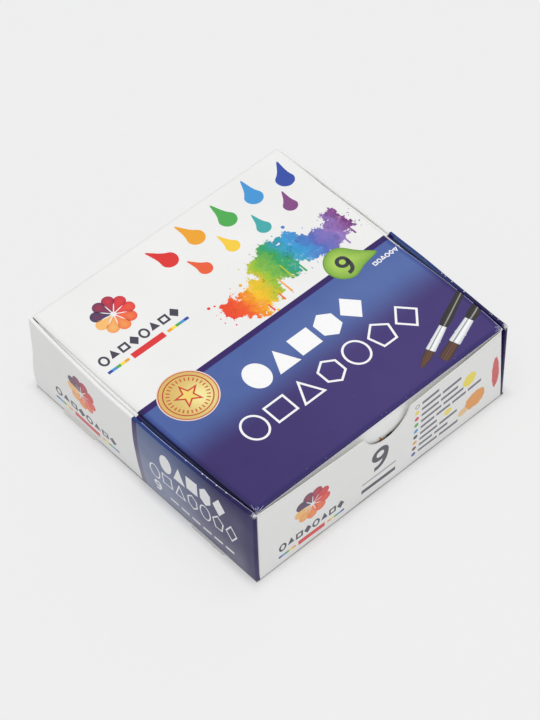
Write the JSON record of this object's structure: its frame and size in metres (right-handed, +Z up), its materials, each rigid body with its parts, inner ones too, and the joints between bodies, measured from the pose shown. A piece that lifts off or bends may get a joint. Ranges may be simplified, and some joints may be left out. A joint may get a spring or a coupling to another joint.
{
  "type": "paint box",
  "caption": "Shallow folding carton of gouache paint jars, with rolled side walls, a thumb notch, and a hinged lid with a tuck flap and side ears.",
  "frame": {"origin": "middle of the base panel's underside, where the box stands", "axes": "+Z up, +X right along the front wall, +Y from the front wall to the lid's hinge"},
  "size_m": [0.1262, 0.1229, 0.0388],
  "materials": {
    "printed_board": "white-lined board printed in blue and violet, water-based gloss varnish",
    "plain_board": "unprinted white-lined board",
    "jar_plastic": "clear moulded plastic",
    "label_paper": "coated label paper with a colour band",
    "cap_white": "moulded, satin, the colour of its paint",
    "paint_white": "gouache, a thick opaque paste",
    "cap_light_yellow": "moulded, satin, the colour of its paint",
    "paint_light_yellow": "gouache, a thick opaque paste",
    "cap_scarlet": "moulded, satin, the colour of its paint",
    "paint_scarlet": "gouache, a thick opaque paste",
    "cap_light_green": "moulded, satin, the colour of its paint",
    "paint_light_green": "gouache, a thick opaque paste",
    "cap_light_blue": "moulded, satin, the colour of its paint",
    "paint_light_blue": "gouache, a thick opaque paste",
    "cap_black": "moulded, satin, the colour of its paint",
    "paint_black": "gouache, a thick opaque paste",
    "cap_dark_yellow": "moulded, satin, the colour of its paint",
    "paint_dark_yellow": "gouache, a thick opaque paste",
    "cap_brown": "moulded, satin, the colour of its paint",
    "paint_brown": "gouache, a thick opaque paste",
    "cap_dark_blue": "moulded, satin, the colour of its paint",
    "paint_dark_blue": "gouache, a thick opaque paste"
  },
  "bodies": {
    "tray": {"base_panel": "plain_board", "front_wall": "printed_board", "back_wall": "printed_board", "left_outer_wall": "printed_board", "right_outer_wall": "printed_board", "left_inner_wall": "printed_board", "right_inner_wall": "printed_board", "front_left_corner_flap": "plain_board", "front_right_corner_flap": "plain_board", "back_left_corner_flap": "plain_board", "back_right_corner_flap": "plain_board"},
    "lid": {"lid_panel": "printed_board"},
    "tuck_flap": {"tuck_flap": "printed_board"},
    "left_ear": {"left_ear": "printed_board"},
    "right_ear": {"right_ear": "printed_board"},
    "jar_1": {"jar_1_body": "jar_plastic", "jar_1_paint": "paint_white", "jar_1_label": "label_paper"},
    "cap_1": {"jar_1_cap": "cap_white"},
    "jar_2": {"jar_2_body": "jar_plastic", "jar_2_paint": "paint_light_yellow", "jar_2_label": "label_paper"},
    "cap_2": {"jar_2_cap": "cap_light_yellow"},
    "jar_3": {"jar_3_body": "jar_plastic", "jar_3_paint": "paint_scarlet", "jar_3_label": "label_paper"},
    "cap_3": {"jar_3_cap": "cap_scarlet"},
    "jar_4": {"jar_4_body": "jar_plastic", "jar_4_paint": "paint_light_green", "jar_4_label": "label_paper"},
    "cap_4": {"jar_4_cap": "cap_light_green"},
    "jar_5": {"jar_5_body": "jar_plastic", "jar_5_paint": "paint_light_blue", "jar_5_label": "label_paper"},
    "cap_5": {"jar_5_cap": "cap_light_blue"},
    "jar_6": {"jar_6_body": "jar_plastic", "jar_6_paint": "paint_black", "jar_6_label": "label_paper"},
    "cap_6": {"jar_6_cap": "cap_black"},
    "jar_7": {"jar_7_body": "jar_plastic", "jar_7_paint": "paint_dark_yellow", "jar_7_label": "label_paper"},
    "cap_7": {"jar_7_cap": "cap_dark_yellow"},
    "jar_8": {"jar_8_body": "jar_plastic", "jar_8_paint": "paint_brown", "jar_8_label": "label_paper"},
    "cap_8": {"jar_8_cap": "cap_brown"},
    "jar_9": {"jar_9_body": "jar_plastic", "jar_9_paint": "paint_dark_blue", "jar_9_label": "label_paper"},
    "cap_9": {"jar_9_cap": "cap_dark_blue"}
  },
  "joints": [
    {"name": "lid_hinge", "type": "hinge", "parent": "tray", "child": "lid", "pos_m": [0, 0.05981, 0.03857], "axis": [-1, 0, 0], "range_deg": [0, 190]},
    {"name": "tuck_flap_fold", "type": "hinge", "parent": "lid", "child": "tuck_flap", "pos_m": [0, -0.05906, 0.03857], "axis": [-1, 0, 0], "range_deg": [0, 66.5]},
    {"name": "left_ear_fold", "type": "hinge", "parent": "lid", "child": "left_ear", "pos_m": [-0.05886, 0, 0.03857], "axis": [0, 1, 0], "range_deg": [0, 28.5]},
    {"name": "right_ear_fold", "type": "hinge", "parent": "lid", "child": "right_ear", "pos_m": [0.05886, 0, 0.03857], "axis": [0, -1, 0], "range_deg": [0, 28.5]},
    {"name": "jar_1_lift", "type": "slide", "parent": "tray", "child": "jar_1", "axis": [0, 0, 1], "range_m": [0, 0.002]},
    {"name": "jar_1_cap_turn", "type": "hinge", "parent": "jar_1", "child": "cap_1", "pos_m": [-0.0382, 0.03918, 0.00045], "axis": [0, 0, 1], "range_deg": [0, 360]},
    {"name": "jar_2_lift", "type": "slide", "parent": "tray", "child": "jar_2", "axis": [0, 0, 1], "range_m": [0, 0.002]},
    {"name": "jar_2_cap_turn", "type": "hinge", "parent": "jar_2", "child": "cap_2", "pos_m": [0, 0.03918, 0.00045], "axis": [0, 0, 1], "range_deg": [0, 360]},
    {"name": "jar_3_lift", "type": "slide", "parent": "tray", "child": "jar_3", "axis": [0, 0, 1], "range_m": [0, 0.002]},
    {"name": "jar_3_cap_turn", "type": "hinge", "parent": "jar_3", "child": "cap_3", "pos_m": [0.0382, 0.03918, 0.00045], "axis": [0, 0, 1], "range_deg": [0, 360]},
    {"name": "jar_4_lift", "type": "slide", "parent": "tray", "child": "jar_4", "axis": [0, 0, 1], "range_m": [0, 0.002]},
    {"name": "jar_4_cap_turn", "type": "hinge", "parent": "jar_4", "child": "cap_4", "pos_m": [-0.0382, 0.00098, 0.00045], "axis": [0, 0, 1], "range_deg": [0, 360]},
    {"name": "jar_5_lift", "type": "slide", "parent": "tray", "child": "jar_5", "axis": [0, 0, 1], "range_m": [0, 0.002]},
    {"name": "jar_5_cap_turn", "type": "hinge", "parent": "jar_5", "child": "cap_5", "pos_m": [0, 0.00098, 0.00045], "axis": [0, 0, 1], "range_deg": [0, 360]},
    {"name": "jar_6_lift", "type": "slide", "parent": "tray", "child": "jar_6", "axis": [0, 0, 1], "range_m": [0, 0.002]},
    {"name": "jar_6_cap_turn", "type": "hinge", "parent": "jar_6", "child": "cap_6", "pos_m": [0.0382, 0.00098, 0.00045], "axis": [0, 0, 1], "range_deg": [0, 360]},
    {"name": "jar_7_lift", "type": "slide", "parent": "tray", "child": "jar_7", "axis": [0, 0, 1], "range_m": [0, 0.002]},
    {"name": "jar_7_cap_turn", "type": "hinge", "parent": "jar_7", "child": "cap_7", "pos_m": [-0.0382, -0.03722, 0.00045], "axis": [0, 0, 1], "range_deg": [0, 360]},
    {"name": "jar_8_lift", "type": "slide", "parent": "tray", "child": "jar_8", "axis": [0, 0, 1], "range_m": [0, 0.002]},
    {"name": "jar_8_cap_turn", "type": "hinge", "parent": "jar_8", "child": "cap_8", "pos_m": [0, -0.03722, 0.00045], "axis": [0, 0, 1], "range_deg": [0, 360]},
    {"name": "jar_9_lift", "type": "slide", "parent": "tray", "child": "jar_9", "axis": [0, 0, 1], "range_m": [0, 0.002]},
    {"name": "jar_9_cap_turn", "type": "hinge", "parent": "jar_9", "child": "cap_9", "pos_m": [0.0382, -0.03722, 0.00045], "axis": [0, 0, 1], "range_deg": [0, 360]}
  ],
  "couplings": [
    {"joint": "tuck_flap_fold", "follows": "lid_hinge", "ratio": 0.35},
    {"joint": "left_ear_fold", "follows": "lid_hinge", "ratio": 0.15},
    {"joint": "right_ear_fold", "follows": "lid_hinge", "ratio": 0.15}
  ]
}
